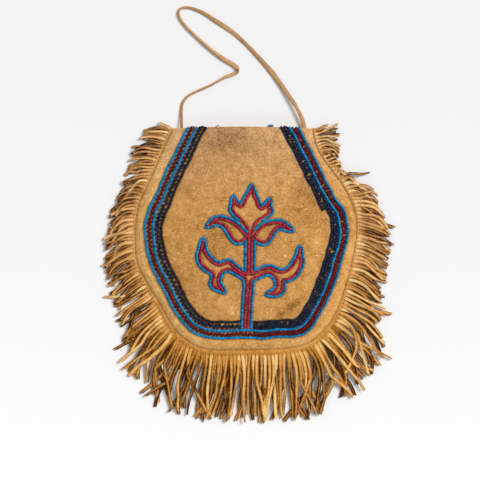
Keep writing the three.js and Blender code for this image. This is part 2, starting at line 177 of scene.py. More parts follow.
# Beads
BEAD = 1.5
BEAD_PITCH = 1
LANE_BEAD = 1.55
LANE_PITCH = 1.1
BEAD_SINK = 0.2  # how deep a bead sits in the nap
BEAD_TILT = 0.05
BEAD_SIZES = (0.96, 1.04)  # smallest and largest share of the size
BEAD_ASTRAY = 0.025
BEAD_TONES = 0.18
LANE_SIZES = (0.8, 1.04)
LANE_ASTRAY = 0.07
ROW_STEP = 0.5
MOTIF_STEP = 0.4
ROW_WANDER = 0.5  # how far rows stray sideways, at most
NAVY_WANDER = 0.8
NEAR_MOUTH = 3  # a row that ends nearer than this to the mouth runs up to it
ROW_END = 0.8  # how far the border's rows are carried on to the mouth edge
LANE_END = 6
OVER_MOUTH = 0.4  # how far beads of the lanes stand over the mouth edge
ROW_GROWTH = 2.4  # how far rows are carried on, at most, until they meet others
MEETING = 1.35  # how near they come to another row there
# How much narrower a navy lane gets, from one height to a higher one
LANE_NARROWS = {
    "navy_row_left": (0.6, 15, 40), "navy_row_right": (1.8, 8, 19), "navy_row_upper_right": (0.7, 24, 40),
}
CROWDED = 1.2  # a bead nearer than this to an earlier one of its row is left out
BEAD_SIDES = 10
BEAD_PROFILE = np.array([(-0.5, 0.75), (-0.42, 0.92), (-0.2, 1), (0.2, 1), (0.42, 0.92), (0.5, 0.75)])
ZIGZAG_PERIOD = 2.7
BAR_SPACING = 1.5
THIN_BARS = 3  # on the upper right, one bar in this many lacks a bead
THIN_ABOVE = -10
BAR_LEAN = 1.4
LANE_STEP = 0.1
WIDEST_LANE = 8
RIGHT_OF_STEM = 4

# Handle thong: x, y and height of its underside, from the mouth's left corner to its right one
THONG = [
    (-39.6, 62.5, 1.5), (-40, 67, 1.5), (-40.2, 71.2, 1.6), (-40.3, 76, 0.8), (-40.3, 80.2, 0.3),
    (-39.4, 85.1, 0.3), (-36.1, 89.3, 0.3), (-28.8, 93.1, 0.3), (-22.6, 95.8, 0.3), (-13.3, 100.9, 0.3),
    (-7, 103.4, 0.3), (-4.6, 105.5, 0.3), (-7, 108.2, 0.3), (-13.3, 112.1, 0.3), (-21.1, 117.8, 0.3),
    (-28.8, 124.5, 0.3), (-36.6, 132, 0.3), (-40.5, 136.9, 0.3), (-42.1, 140.8, 0.3), (-40.8, 143.9, 0.3),
    (-38.1, 144.6, 0.3), (-34, 144.2, 0.3), (-27.3, 141.6, 0.3), (-19.5, 136.7, 0.3), (-8.1, 129.2, 0.3),
    (-0.3, 122.2, 0.3), (7.4, 114.1, 0.3), (15.3, 105.3, 0.3), (20.4, 98.6, 0.6), (27.5, 88.3, 1.6),
    (30.9, 83.2, 2.2), (34.3, 76.5, 2.4), (36, 71.5, 1.9), (36.2, 62.5, 1.5),
]
THONG_WIDTH = 2.9
THONG_THICKNESS = 0.9
THONG_STEP = 1
THONG_SIDES = 16
THONG_UNEVEN = 0.1
THONG_TONE = 0.06
THONG_TONE_UNEVEN = 0.08
# Painted shade on the strap's rounded edges
THONG_EDGE_SHADE = 0.26
# The strap at shares of its length: its turn in degrees, flat at 0 and 180, and its share of the full width
THONG_TURNS = [
    (0, 40, 0.75), (0.08, 40, 0.68), (0.12, 45, 0.55), (0.2, 40, 0.5), (0.24, 10, 0.72), (0.258, 5, 0.84),
    (0.267, 90, 0.8), (0.276, 175, 0.92), (0.3, 175, 0.92), (0.35, 150, 0.72), (0.4, 140, 0.6),
    (0.48, 140, 0.54), (0.51, 145, 0.52), (0.55, 150, 0.64), (0.6, 165, 0.86), (0.64, 170, 0.92),
    (0.7, 150, 0.72), (0.76, 165, 0.82), (0.8, 180, 1), (0.86, 175, 0.92), (0.92, 165, 0.8),
    (1, 180, 0.95),
]


# Lines

def unit(vectors):
    """Vectors of length one."""
    return vectors / np.linalg.norm(vectors, axis=-1, keepdims=True)


def even(line, step):
    """Points evenly spaced along a line of straight pieces."""
    line = np.asarray(line, float)
    along = np.concatenate([[0], np.cumsum(np.linalg.norm(np.diff(line, axis=0), axis=1))])
    wanted = np.linspace(0, along[-1], max(1, round(along[-1] / step)) + 1)
    return np.column_stack([np.interp(wanted, along, column) for column in line.T])


def smooth(points, step):
    """Points evenly spaced along a smooth line through hand-set points."""
    points = np.asarray(points, float)
    ends = np.vstack([2 * points[0] - points[1], points, 2 * points[-1] - points[-2]])
    share = np.linspace(0, 1, 24, endpoint=False)[:, None]
    pieces = []
    for a, b, c, d in zip(ends, ends[1:], ends[2:], ends[3:]):
        ab, bc, cd = (math.sqrt(np.linalg.norm(q - p)) for p, q in ((a, b), (b, c), (c, d)))
        leave = ((b - a) / ab - (c - a) / (ab + bc) + (c - b) / bc) * bc
        arrive = ((c - b) / bc - (d - b) / (bc + cd) + (d - c) / cd) * bc
        curve = 2 * b - 2 * c + leave + arrive
        bend = -3 * b + 3 * c - 2 * leave - arrive
        pieces.append(((curve * share + bend) * share + leave) * share + b)
    return even(np.vstack(pieces + [points[-1:]]), step)


def directions(line):
    """Unit directions along a line at its points."""
    return unit(np.gradient(line, axis=0))


def nearest(line, points):
    """For each point, its distance to a line and the nearest place on it, seen from above."""
    points = np.asarray(points, float)[:, :2]
    best = np.full(len(points), np.inf)
    place = np.zeros((len(points), 2))
    for a, b in zip(line[:-1, :2], line[1:, :2]):
        share = np.clip((points - a) @ (b - a) / max((b - a) @ (b - a), 1e-12), 0, 1)
        foot = a + share[:, None] * (b - a)
        gap = np.linalg.norm(points - foot, axis=1)
        nearer = gap < best
        best[nearer] = gap[nearer]
        place[nearer] = foot[nearer]
    return best, place


def finder(points):
    """Tree that finds the nearest of many points, seen from above."""
    tree = kdtree.KDTree(len(points))
    for i, (x, y) in enumerate(np.asarray(points)[:, :2].tolist()):
        tree.insert((x, y, 0), i)
    tree.balance()
    return tree


def gaps_to(tree, points):
    """Distances from points to the nearest one in a tree, seen from above."""
    return np.array([tree.find((x, y, 0))[2] for x, y in np.asarray(points)[:, :2].tolist()])


def ripple(point, size, seed):
    """Smooth noise from -1 to 1 with lumps of one size."""
    return noise.noise(Vector((point[0] / size, point[1] / size, seed * 7.3)))


# Materials

def linear(colour):
    """Scene-linear colour with alpha from an 8-bit screen colour."""
    shares = [value / 255 for value in colour]
    return (*((s / 12.92 if s <= 0.04045 else ((s + 0.055) / 1.055) ** 2.4) for s in shares), 1)


def node(tree, kind, settings=None, **inputs):
    """New shader node with its settings and inputs; an input is a value or another node's socket."""
    made = tree.nodes.new(kind)
    for name, value in (settings or {}).items():
        setattr(made, name, value)
    for name, value in inputs.items():
        socket = made.inputs[int(name[1:])] if name[0] == "_" else made.inputs[name.replace("_", " ")]
        if isinstance(value, bpy.types.NodeSocket):
            tree.links.new(value, socket)
        else:
            socket.default_value = value
    return made


def new_material(name, roughness, specular):
    """Material with its shader's plain numbers set."""
    material = bpy.data.materials.new(name)
    material.use_nodes = True
    shader = material.node_tree.nodes["Principled BSDF"]
    shader.inputs["Roughness"].default_value = roughness
    shader.inputs["Specular IOR Level"].default_value = specular
    return material, material.node_tree, shader


def ramp(tree, factor, stops):
    """Colour ramp through 8-bit colours at places from 0 to 1."""
    made = node(tree, "ShaderNodeValToRGB", _0=factor)
    elements = made.color_ramp.elements
    while len(elements) < len(stops):
        elements.new(0.5)
    for element, (place, colour) in zip(elements, stops):
        element.position = place
        element.color = linear(colour)
    return made.outputs["Color"]


def weigh(tree, terms, base):
    """Sum of a number and weighted sockets."""
    total = base
    for socket, weight in terms:
        total = node(tree, "ShaderNodeMath", {"operation": "MULTIPLY_ADD"}, _0=socket, _1=weight, _2=total)
        total = total.outputs[0]
    return total


HIDE_LUMPS = [("patch", 38, 3), ("mottle", 190, 4), ("nap", 1000, 3), ("fleck", 620, 3), ("vein", 120, 4)]
# Heights and shares of full colour there: the hide is more faded towards the mouth
BODY_FADE = [(20, 1.04), (65, 0.92)]
FRINGE_FADE = [(-60, 1.05), (0, 0.97)]


def hide_material(name, stops, fade, patch=0.4, mottle=0.65, nap=0.95, fleck=0.45):
    """Smoked suede: patches, mottling, nap, pale flecks and wrinkles, and a tone from the mesh."""
    material, tree, shader = new_material(name, 0.92, 0.2)
    shader.inputs["Sheen Weight"].default_value = 0.04
    shader.inputs["Sheen Roughness"].default_value = 0.5
    place = node(tree, "ShaderNodeTexCoord").outputs["Object"]
    lumps = {}
    for label, scale, detail in HIDE_LUMPS:
        made = node(tree, "ShaderNodeTexNoise", Vector=place, Scale=scale, Detail=detail, Roughness=0.6)
        lumps[label] = made.outputs["Fac"]
    flecks = node(tree, "ShaderNodeMapRange", Value=lumps["fleck"], From_Min=0.6, From_Max=0.7).outputs[0]
    off = node(tree, "ShaderNodeMath", {"operation": "SUBTRACT"}, _0=lumps["vein"], _1=0.5).outputs[0]
    off = node(tree, "ShaderNodeMath", {"operation": "ABSOLUTE"}, _0=off).outputs[0]
    veins = node(tree, "ShaderNodeMapRange", Value=off, From_Min=0.03, From_Max=0).outputs[0]
    tone = node(tree, "ShaderNodeAttribute", {"attribute_name": "tone"}).outputs["Fac"]
    weights = [
        (lumps["patch"], patch), (lumps["mottle"], mottle), (lumps["nap"], nap),
        (flecks, fleck), (veins, -0.1), (tone, 1),
    ]
    level = weigh(tree, weights, 0.5 - (patch + mottle + nap) / 2)
    y = node(tree, "ShaderNodeSeparateXYZ", Vector=place).outputs["Y"]
    (low, full), (high, faded) = fade
    span = {"From_Min": low * MM, "From_Max": high * MM, "To_Min": full, "To_Max": faded}
    left = node(tree, "ShaderNodeMapRange", Value=y, **span).outputs[0]
    colour = node(tree, "ShaderNodeHueSaturation", Saturation=left, Color=ramp(tree, level, stops))
    tree.links.new(colour.outputs["Color"], shader.inputs["Base Color"])
    relief = weigh(tree, [(lumps["nap"], 0.6), (lumps["mottle"], 0.6), (veins, -0.3)], 0)
    raised = node(tree, "ShaderNodeBump", Strength=0.7, Distance=0.0004, Height=relief)
    tree.links.new(raised.outputs["Normal"], shader.inputs["Normal"])
    return material


def bead_material(name, dark, light):
    """Opaque glass beads whose tone differs from bead to bead."""
    material, tree, shader = new_material(name, 0.35, 0.09)
    place = node(tree, "ShaderNodeTexCoord").outputs["Object"]
    cloud = node(tree, "ShaderNodeTexNoise", Vector=place, Scale=900, Detail=2).outputs["Fac"]
    tone = node(tree, "ShaderNodeAttribute", {"attribute_name": "tone"}).outputs["Fac"]
    level = weigh(tree, [(cloud, 0.3), (tone, 1)], 0.35)
    tree.links.new(ramp(tree, level, [(0, dark), (1, light)]), shader.inputs["Base Color"])
    return material


def thread_material(name, dark, light):
    """Sinew thread with fine fibres."""
    material, tree, shader = new_material(name, 0.7, 0.3)
    place = node(tree, "ShaderNodeTexCoord").outputs["Object"]
    fibre = node(tree, "ShaderNodeTexNoise", Vector=place, Scale=2600, Detail=3).outputs["Fac"]
    tree.links.new(ramp(tree, fibre, [(0.3, dark), (0.7, light)]), shader.inputs["Base Color"])
    raised = node(tree, "ShaderNodeBump", Strength=0.3, Distance=0.0001, Height=fibre)
    tree.links.new(raised.outputs["Normal"], shader.inputs["Normal"])
    return material


HIDE_STOPS = [
    (0, (66, 42, 18)), (0.1, (124, 82, 38)), (0.35, (180, 130, 73)), (0.55, (206, 153, 92)),
    (0.8, (230, 177, 110)), (1, (244, 207, 150)),
]
FRINGE_STOPS = [
    (0.05, (62, 36, 12)), (0.35, (156, 102, 47)), (0.55, (197, 139, 74)), (0.8, (224, 170, 100)),
    (1, (242, 204, 142)),
]
BODY_HIDE = hide_material("smoked_hide", HIDE_STOPS, BODY_FADE)
CUT_HIDE = hide_material("fringe_hide", FRINGE_STOPS, FRINGE_FADE, patch=0.3, mottle=0.5, nap=0.5, fleck=0.2)
STRAP_HIDE = hide_material("thong_hide", HIDE_STOPS, BODY_FADE, patch=0.2, mottle=0.3, nap=0.4, fleck=0.1)
THREAD = thread_material("sinew", (140, 98, 54), (186, 140, 88))
BEAD_GLASS = {
    "blue_bead": bead_material("blue_glass", (0, 88, 134), (0, 166, 232)),
    "red_bead": bead_material("red_glass", (112, 6, 28), (218, 62, 94)),
    "wine_bead": bead_material("wine_glass", (50, 4, 10), (126, 32, 40)),
    "navy_bead": bead_material("navy_glass", (3, 6, 14), (40, 52, 80)),
}


# Meshes

def make_piece(name, corners, faces, material, replaced, tones=None):
    """Mesh piece that rides on the bag and stands for CAD nodes."""
    mesh = bpy.data.meshes.new(name)
    mesh.from_pydata((np.asarray(corners) * MM).tolist(), [], faces)
    mesh.shade_smooth()
    mesh.materials.append(material)
    tone = mesh.attributes.new("tone", "FLOAT", "POINT")
    tone.data.foreach_set("value", np.zeros(len(corners)) if tones is None else np.asarray(tones, float))
    made = bpy.data.objects.new(name, mesh)
    bpy.context.scene.collection.objects.link(made)
    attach(made, "root")
    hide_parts(*replaced)
    return made


def skin(rings):
    """Corners and faces of a closed solid through rings of points; the first and last ring are filled."""
    rings = np.asarray(rings, float)
    levels, count = rings.shape[:2]
    corners = np.vstack([rings.reshape(-1, 3), rings[0].mean(axis=0), rings[-1].mean(axis=0)])
    faces = []
    for i in range(levels - 1):
        for j in range(count):
            a = i * count + j
            b = i * count + (j + 1) % count
            faces.append((a, b, b + count, a + count))
    last = (levels - 1) * count
    for j in range(count):
        k = (j + 1) % count
        faces.append((k, j, len(corners) - 2))
        faces.append((last + j, last + k, len(corners) - 1))
    return corners, faces


def joined(solids):
    """One set of corners and faces from several."""
    corners = []
    faces = []
    start = 0
    for solid_corners, solid_faces in solids:
        corners.append(solid_corners)
        faces.extend(tuple(index + start for index in face) for face in solid_faces)
        start += len(solid_corners)
    return np.vstack(corners), faces


# Stage and camera

def make_stage():
    """Pale floor painted a little darker beyond the bag as painted shade, lamp and sky, and the camera that
    looks straight down.
    """
    mesh = bpy.data.meshes.new("floor")
    half = FLOOR_SIZE / 2 * MM
    square = ((-1, -1), (1, -1), (1, 1), (-1, 1))
    mesh.from_pydata([(x * half, y * half, -FLOOR_DROP * MM) for x, y in square], [], [(0, 1, 2, 3)])
    floor = bpy.data.objects.new("floor", mesh)
    bpy.context.scene.collection.objects.link(floor)
    material, tree, shader = new_material("paper", 0.9, 0)
    place = node(tree, "ShaderNodeTexCoord").outputs["Object"]
    y = node(tree, "ShaderNodeSeparateXYZ", Vector=place).outputs["Y"]
    # The floor's colour is painted darker beyond the bag, as painted shade.
    near, far = (edge * MM for edge in FLOOR_SHADE_SPAN)
    share = node(tree, "ShaderNodeMapRange", Value=y, From_Min=near, From_Max=far).outputs[0]
    tree.links.new(ramp(tree, share, FLOOR_SHADE_STOPS), shader.inputs["Base Color"])
    mesh.materials.append(material)

    lamp = bpy.data.lights.new("key", "SUN")
    lamp.energy = KEY_STRENGTH
    lamp.angle = math.radians(KEY_ANGLE)
    key = bpy.data.objects.new("key", lamp)
    key.rotation_euler = Vector(KEY_FROM).to_track_quat("Z", "Y").to_euler()
    bpy.context.scene.collection.objects.link(key)

    world = bpy.data.worlds.new("studio")
    bpy.context.scene.world = world
    world.use_nodes = True
    world.node_tree.nodes["Background"].inputs["Color"].default_value = (1, 1, 1, 1)
    world.node_tree.nodes["Background"].inputs["Strength"].default_value = SKY_STRENGTH

    lens = bpy.data.cameras.new("camera")
    lens.lens = CAMERA_LENS
    lens.clip_end = 10
    camera = bpy.data.objects.new("camera", lens)
    camera.location = Vector((*PICTURE_MIDDLE, CAMERA_HEIGHT)) * MM
    bpy.context.scene.collection.objects.link(camera)
    bpy.context.scene.camera = camera
    bpy.context.scene.view_settings.view_transform = "Standard"


# Handle thong

def make_thong():
    """Flat strap swept along its route, tilted and drawn narrow where it bends."""
    route = smooth([(x, y, under + THONG_THICKNESS / 2) for x, y, under in THONG], THONG_STEP)
    share = np.linspace(0, 1, len(route))
    places, turns, shares = zip(*THONG_TURNS)
    turn = np.radians(np.interp(share, places, turns))
    width = THONG_WIDTH * np.interp(share, places, shares)
    route[:, 2] += np.abs(np.sin(turn)) * np.maximum(width - THONG_THICKNESS, 0) / 2
    along = directions(route)
    across = unit(np.cross(along, UP))
    up = np.cross(across, along)
    angles = np.linspace(0, 2 * math.pi, THONG_SIDES, endpoint=False)
    x = np.sign(np.cos(angles)) * np.abs(np.cos(angles)) ** 0.55 / 2
    y = np.sign(np.sin(angles)) * np.abs(np.sin(angles)) ** 0.7 / 2
    rings = []
    tones = []
    for i, place in enumerate(route):
        side = across[i] * math.cos(turn[i]) + up[i] * math.sin(turn[i])
        face = np.cross(side, along[i])
        wide = width[i] * (1 + THONG_UNEVEN * ripple((share[i] * 90, 3), 4, 3))
        rings.append(place + np.outer(x * wide, side) + np.outer(y * THONG_THICKNESS, face))
        middle_tone = THONG_TONE + THONG_TONE_UNEVEN * ripple((share[i] * 120, 9), 5, 4)
        # The strap's rounded edges are painted darker, as painted shade.
        tones.extend(middle_tone - THONG_EDGE_SHADE * np.abs(2 * x) ** 3)
    corners, faces = skin(rings)
    faces = [loop[::-1] for loop in faces]
    made = make_piece("thong_strap", corners, faces, STRAP_HIDE, ["thong"], tones + [0, 0])


make_stage()
make_thong()


# What the frame says

def merged(name):
    """A CAD node's mesh in millimetres, with its shared corners joined."""
    bm = bmesh.new()
    bm.from_mesh(frame["nodes"][name].data)
    bmesh.ops.scale(bm, vec=(1 / MM, 1 / MM, 1 / MM), verts=bm.verts)
    bmesh.ops.remove_doubles(bm, verts=bm.verts, dist=WELD)
    return bm


def around(corner):
    """The corners that share an edge with one."""
    return [edge.other_vert(corner) for edge in corner.link_edges]


def row_line(name):
    """Middle line of a CAD string of beads: the middles of its rings, counted out from one end."""
    bm = merged(name)
    end = next(v for v in bm.verts if all(len(other.link_edges) == 5 for other in around(v)))
    line = []
    seen = {end}
    ring = [end]
    while ring:
        found = dict.fromkeys(other for corner in ring for other in around(corner))
        ring = [corner for corner in found if corner not in seen]
        seen.update(ring)
        if len(ring) > 1:
            line.append(np.mean([corner.co for corner in ring], axis=0))
    bm.free()
    return np.array(line)


def turn_from_top(point):
    """Angle from straight up, counted to the left."""
    return (math.atan2(point[1], point[0]) - math.pi / 2) % (2 * math.pi)


def read_outline():
    """Seam from the mouth's left corner to its right one, and the mouth edge from right to left."""
    bm = merged("back_panel")
    floor = sorted((tuple(v.co) for v in bm.verts if v.co.z < WELD), key=turn_from_top)
    bm.free()
    seam_points = [p for p in floor if p[1] < MOUTH_Y + WELD]
    mouth_points = sorted((p for p in floor if p[1] > MOUTH_Y + WELD), reverse=True)
    mouth_points = [seam_points[-1], *mouth_points, seam_points[0]]
    return smooth(seam_points, OUTLINE_STEP), smooth(mouth_points, OUTLINE_STEP)


def read_strands(name):
    """The strands of a CAD fringe strip, in order along the seam: both root corners and the tip's middle."""
    bm = merged(name)
    strip_floor = min(v.co.z for v in bm.verts if v.co.z > FRINGE_HIDE + WELD)
    strands = []
    for edge in bm.edges:
        if all(v.co.z < WELD for v in edge.verts):
            roots = [{o for o in around(v) if abs(o.co.z - strip_floor) < WELD} for v in edge.verts]
            roots.sort(key=len)
            start = roots[0].pop()
            end = next(o for o in roots[1] if o != start)
            tip = (edge.verts[0].co + edge.verts[1].co) / 2
            strands.append([np.array(p)[:2] for p in (start.co, end.co, tip)])
    bm.free()
    return sorted(strands, key=lambda strand: turn_from_top(strand[0]))


seam, mouth = read_outline()
seam_tree = finder(even(seam, 0.25))
outline = np.vstack([seam[:-1], mouth[:-1]])
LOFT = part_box("front_panel")[1].z / MM - SEAM_TOP

# Tips of the motif, where its rows close up to a point: x, y and heading in degrees
TIPS = [
    (-14.3, -31.9, -50), (-26.6, -1.7, 80), (33.4, -6.6, 78), (14.8, -33.9, 194), (-22.5, 8.6, 210),
    (27.6, 6, -38), (-7.5, 24.8, 95), (3.6, 31.5, 88), (14.4, 23.1, 62),
]
TIP_CLOSE = 1.15  # how far each side of a tip is drawn in
TIP_REACH = 8
CROSSING = (1.4, -23.5)  # where the leaves leave the stem
CROSSING_CLOSE = 0.35
CROSSING_REACH = 4


def close_tips(line):
    """Draw the rows of the motif in at its tips, so that two red rows meet in one, and where they cross."""
    for x, y, heading in TIPS:
        ahead = np.array([math.cos(math.radians(heading)), math.sin(math.radians(heading))])
        left = np.array([-ahead[1], ahead[0]])
        away = line[:, :2] - (x, y)
        on = away @ ahead
        off = away @ left
        close = np.clip(1 + on / TIP_REACH, 0, 1) * np.clip(6 - on, 0, 1) * np.clip(5 - abs(off), 0, 1)
        line[:, :2] -= np.outer(np.sign(off) * np.minimum(abs(off), TIP_CLOSE * close), left)
    away = line[:, :2] - CROSSING
    near = np.exp(-((np.linalg.norm(away, axis=1) / CROSSING_REACH) ** 2))
    line[:, :2] -= away * CROSSING_CLOSE * near[:, None]
    return line


def wander(line, most):
    """A sewn row is never quite straight."""
    along = directions(line)
    shift = np.array([most * ripple(p, 6, 21) for p in line])
    line[:, 0] -= along[:, 1] * shift
    line[:, 1] += along[:, 0] * shift
    return line


def carried(line, reach):
    """A border row carried on by a length at each end that comes up to the mouth."""
    for _ in range(2):
        if line[-1, 1] > MOUTH_Y - NEAR_MOUTH:
            line = np.vstack([line, line[-1] + unit(line[-1] - line[-2]) * reach])
        line = line[::-1]
    return line


def grown(line, others):
    """A row carried on at both ends until it meets another row or the mouth."""
    tree = finder(np.vstack(others))
    for _ in range(2):
        step = (line[-1] - line[-4]) / 3
        for _ in range(round(ROW_GROWTH / np.linalg.norm(step))):
            place = line[-1] + step
            if gaps_to(tree, [place])[0] < MEETING or place[1] > MOUTH_Y - NEAR_MOUTH:
                break
            line = np.vstack([line, place])
        line = line[::-1]
    return line


def drawn_to(line, row, most, start, end):
    """A row that lies nearer to another one from one height to a higher one."""
    gap, foot = nearest(row, line)
    share = most * np.clip((line[:, 1] - start) / (end - start), 0, 1) / gap
    line[:, :2] += (foot - line[:, :2]) * share[:, None]
    return line


SLOTS = {subpart["node"]: subpart["material_slot"] for subpart in frame["record"]["subparts"]}
rows = {}
for subpart_name in SLOTS:
    if "navy_row" in subpart_name:
        navy_row = wander(even(carried(row_line(subpart_name), ROW_END), ROW_STEP), NAVY_WANDER)
        rows[subpart_name] = drawn_to(navy_row, rows["inner_blue_row"], *LANE_NARROWS[subpart_name])
    elif "row" in subpart_name:
        border_row = carried(row_line(subpart_name), ROW_END)
        rows[subpart_name] = wander(even(border_row, ROW_STEP), ROW_WANDER)
    elif subpart_name.endswith(("_red", "_blue")):
        rows[subpart_name] = close_tips(even(row_line(subpart_name), MOTIF_STEP))
for row_name in rows:
    rows[row_name] = grown(rows[row_name], [line for name, line in rows.items() if name != row_name])
row_tree = finder(np.vstack([even(line, MOTIF_STEP) for line in rows.values()]))


# Panels

RING_SHARES = np.concatenate([np.linspace(0.02, 0.93, 92, endpoint=False), np.linspace(0.93, 1, 22)])
UNDER_SHARES = np.linspace(0.02, 1, 24)

# Soft creases in the front: both ends, width and depth
CREASES = [
    ((21, -48), (34.5, -37), 2.1, 0.85),
    ((33, -30), (37, -12), 3, 0.3),
    ((-20, 58), (-2, 63), 4, 0.3),
]

# Soft spots on the front: x, y, radius and tone
SPOTS = [
    (-22, 62, 12, -0.12), (-8, 60, 10, -0.1), (38, 48, 9, -0.1), (40, 30, 9, -0.08), (-20, -4, 8, -0.1),
    (28, -42, 5, -0.12), (6, 40, 9, 0.05), (-28, 30, 9, 0.05), (20, 10, 9, 0.05), (-30, -20, 8, 0.06),
    (40, 10, 11, -0.1), (-38, -2, 7, 0.05), (36, 22, 8, -0.06), (-46, -30, 5, 0.14), (-33, -63, 6, 0.1),
    (66, -6, 6, 0.12), (-13, -44, 10, 0.18), (18, -45, 10, 0.05), (-47, -57, 7, 0.1), (-62, -30, 7, 0.1),
]


def front_face(points):
    """Height of the front's outer face: lofted, with slack, soft creases and a rounded edge at the seam."""
    points = np.asarray(points, float)
    gap = gaps_to(seam_tree, points)
    inside = np.minimum(gap / LOFT_REACH, 1)
    rise = (1 - (1 - inside) ** 2) * (1 - SLACK_EDGE) + inside ** 2 * (3 - 2 * inside) * SLACK_EDGE
    height = SEAM_TOP + LOFT * rise
    slack = np.array([sum(high * ripple(p, size, seed) for high, size, seed in SLACK) for p in points])
    height += slack * np.minimum(gap / SLACK_REACH, 1)
    for start, end, width, depth in CREASES:
        off, _ = nearest(np.array([start, end]), points)
        height -= depth * np.exp(-((off / width) ** 2))
    height -= PRESSED_DEPTH * np.exp(-(((gap - PRESSED_LINE) / PRESSED_WIDTH) ** 2))
    roll = 1 - (1 - np.minimum(gap / EDGE_ROUND, 1)) ** 2
    return EDGE_FLOOR + (height - EDGE_FLOOR) * roll


def edge_tone(points):
    """Tone of a panel: worn pale along the margin, with painted light on its left and lower stretches, and
    painted shade in the seam's groove.
    """
    gap = gaps_to(seam_tree, points)
    x, y = points[:, 0], points[:, 1]
    # The seam's groove gets painted shade.
    groove = GROOVE_SHADE + GROOVE_SHADE_RIGHT * np.clip((x + 45) / 50, 0, 1)
    # The margin is worn pale, and painted lighter on the left and below as painted light.
    paler = MARGIN_TONE + MARGIN_PAINTED_LIGHT_LEFT * np.clip(-x / 50, 0, 1) + MARGIN_PAINTED_LIGHT_LOW * np.clip(-y / 60, 0, 1)
    return paler * np.exp(-((gap / MARGIN_REACH) ** 2)) - groove * np.exp(-((gap / GROOVE_SHADE_REACH) ** 2))


def front_tone(points):
    """Tone of the front, which also has smudges, worn pale places, painted shade in its creases, and grime
    with painted shade along the rows of beads.
    """
    # Grime and painted shade in the hide beside the rows of beads.
    dirt_and_shade = ROW_DIRT_AND_SHADE * np.exp(-((gaps_to(row_tree, points) / ROW_DIRT_AND_SHADE_REACH) ** 2))
    tone = edge_tone(points) - dirt_and_shade
    # Creases get painted shade, darker the deeper they are.
    for start, end, width, depth in CREASES:
        off, _ = nearest(np.array([start, end]), points)
        tone -= CREASE_SHADE * depth * np.exp(-((off / width) ** 2))
    for x, y, radius, strength in SPOTS:
        far = np.hypot(points[:, 0] - x, points[:, 1] - y)
        tone += strength * np.exp(-((far / radius) ** 2))
    return tone


def panel_rings(shares):
    """Copies of the outline drawn in towards the panel's middle."""
    return outline[None] * np.asarray(shares)[:, None, None]


def make_front():
    """Front panel, lofted over the room inside."""
    top = panel_rings(RING_SHARES[::-1])
    top[..., 2] = front_face(top.reshape(-1, 3)).reshape(top.shape[:2])
    under = panel_rings(UNDER_SHARES)
    face = front_face(under.reshape(-1, 3)).reshape(under.shape[:2])
    under[..., 2] = np.maximum(face - HIDE, WELT_TOP + 0.1)
    corners, faces = skin(np.concatenate([under, top]))
    made = make_piece("front_hide", corners, faces, BODY_HIDE, ["front_panel"], front_tone(corners))


def make_back():
    """Back panel, which lies on the ground."""
    under = panel_rings(UNDER_SHARES)
    flat = under.reshape(-1, 3)
    gap = gaps_to(seam_tree, flat)
    wave = np.array([abs(ripple(p, 18, 5)) for p in flat])
    lift = BACK_WAVE * wave * np.minimum(gap / 4, 1) + BACK_EDGE_LIFT * np.exp(-((gap / 0.6) ** 2))
    under[..., 2] = lift.reshape(under.shape[:2])
    top = panel_rings(UNDER_SHARES)
    top[..., 2] = (HIDE - 0.1 + 0.1 * wave).reshape(top.shape[:2])
    corners, faces = skin(np.concatenate([under, top[::-1]]))
    made = make_piece("back_hide", corners, faces, BODY_HIDE, ["back_panel"], edge_tone(corners))


make_front()
make_back()


# Fringe

def bundled(strands):
    """Strands, each with the way its tip is drawn towards the middle of a small bundle."""
    drawn = []
    while len(drawn) < len(strands):
        bundle = strands[len(drawn):len(drawn) + chance.randint(*BUNDLE)]
        middle = sum(tip for _, _, tip in bundle) / len(bundle)
        pull = chance.uniform(*BUNDLE_PULL)
        drawn += [(start, end, tip, (middle - tip) * pull) for start, end, tip in bundle]
    return drawn


def sway(root, most, seed):
    """Bend of a strand: neighbours bend much the same way."""
    return most * ripple(root, 9, seed) + chance.gauss(0, most / 3)


def strand_shape(root, outward, tip, drawn, root_height, rest):
    """Middle line and turn of one strand, from its root on the band to its tip on the ground."""
    chord = tip - root
    length = np.linalg.norm(chord) * chance.uniform(*STRAND_LENGTHS)
    ahead = unit(chord)
    left = np.array([-ahead[1], ahead[0]])
    lean = math.asin(np.clip(ahead[0] * outward[1] - ahead[1] * outward[0], -1, 1))
    share = np.linspace(0, 1, STRAND_RINGS + 1)
    loose = max(1, LOOSE_LENGTH / length)
    corner = np.clip((abs(root[0]) - 20) / 20, 0, 1) * np.clip((-root[1] - 30) / 20, 0, 1)
    astray = sway(root, SWAY * loose, 31)
    if chance.random() < ASTRAY_SHARE + ASTRAY_CORNER * corner:
        astray = np.clip(chance.gauss(0, ASTRAY), -ASTRAY_MOST, ASTRAY_MOST)
    bow = math.tan(0.75 * lean) / 4 + sway(root, BOW * loose, 32)
    aside = 4 * bow * share * (1 - share) + astray * share ** 1.6
    aside += sway(root, WAVE * loose, 33) * np.sin(2 * math.pi * share) + chance.gauss(0, CURL) * share ** 4
    kink = chance.uniform(*KINK_AT)
    aside += chance.gauss(0, KINK + KINK_CORNER * corner) * np.maximum(share - kink, 0)
    flat = root + np.outer(share * length, ahead) + np.outer(aside * length, left)
    flat += np.outer(share ** 2.2, drawn)
    hump = chance.uniform(0, HUMP) * min(length / 20, 1)
    height = rest + (root_height - rest) * (1 - share) ** 2 + hump * np.sin(math.pi * share) ** 2
    at_tip, in_middle, in_waves = TWISTS
    turn = chance.gauss(0, at_tip) * share ** 1.5 + chance.gauss(0, in_middle) * np.sin(math.pi * share)
    turn += chance.gauss(0, in_waves) * share * np.sin(3 * math.pi * share + chance.uniform(0, 6))
    height = np.maximum(height, STRAND_HIDE / 2 * np.abs(np.cos(turn)) + STRAND_HALF * np.abs(np.sin(turn)))
    return np.column_stack([flat, height]), turn


